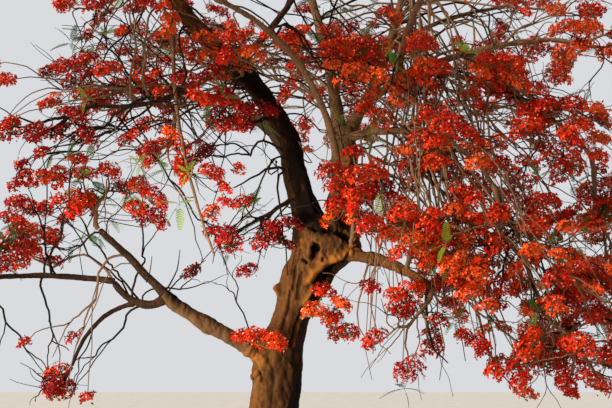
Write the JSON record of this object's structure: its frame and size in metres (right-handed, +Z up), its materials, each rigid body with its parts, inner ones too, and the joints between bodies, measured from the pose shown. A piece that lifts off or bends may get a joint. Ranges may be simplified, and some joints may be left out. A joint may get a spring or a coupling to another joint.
{
  "type": "flame tree",
  "caption": "Leaning, forking flame tree in full flower, nearly leafless, with open twisting boughs and red blossom masses that weep low on one side.",
  "frame": {"origin": "middle of the flat cut under the trunk, at ground level", "axes": "+Z up the trunk; -Y is the side the picture was taken from; +X is the weeping side, on the picture's right"},
  "size_m": [8.6582, 8.0377, 8.6027],
  "materials": {
    "trunk_bark": "rough, knotted, warm brown bark",
    "bough_bark": "smoother grey-brown bark",
    "blossom": "soft matt flame-red petals on grey-brown twigs"
  },
  "bodies": {
    "root": {"trunk": "trunk_bark", "left_leader_foot": "bough_bark", "centre_stem": "bough_bark", "right_bough": "bough_bark", "left_leader_bend": "bough_bark", "left_leader_top": "bough_bark", "left_arm": "bough_bark", "cross_limb": "bough_bark", "hanging_limb": "bough_bark", "back_left_bough": "bough_bark", "centre_left_stem": "bough_bark", "centre_right_stem": "bough_bark", "right_reach": "bough_bark", "high_right_bough": "bough_bark", "right_sweep": "bough_bark", "right_fall": "bough_bark", "right_far_sweep": "bough_bark", "front_arch": "bough_bark", "back_bough": "bough_bark", "back_right_bough": "bough_bark", "front_right_bough": "bough_bark", "low_left_bough": "bough_bark", "low_left_rise": "bough_bark", "low_left_elbow": "bough_bark", "low_left_reach": "bough_bark", "low_left_droop": "bough_bark", "top_left_mass": "blossom", "left_shoulder_mass": "blossom", "left_middle_mass": "blossom", "left_flank_mass": "blossom", "left_inner_mass": "blossom", "left_hanging_mass": "blossom", "leader_side_mass": "blossom", "leader_front_mass": "blossom", "left_lower_mass": "blossom", "low_left_end_mass": "blossom", "low_left_droop_mass": "blossom", "collar_mass": "blossom", "trunk_side_mass": "blossom", "front_left_mass": "blossom", "front_mass": "blossom", "centre_mass": "blossom", "centre_low_mass": "blossom", "top_mass": "blossom", "top_right_mass": "blossom", "right_upper_mass": "blossom", "right_inner_mass": "blossom", "high_right_mass": "blossom", "right_end_mass": "blossom", "right_shoulder_mass": "blossom", "right_fan_mass": "blossom", "right_droop_mass": "blossom", "right_fall_mass": "blossom", "right_skirt_mass": "blossom", "right_far_fall_mass": "blossom", "front_right_mass": "blossom", "back_left_mass": "blossom", "left_back_mass": "blossom", "back_mass": "blossom", "back_right_mass": "blossom"}
  },
  "joints": []
}
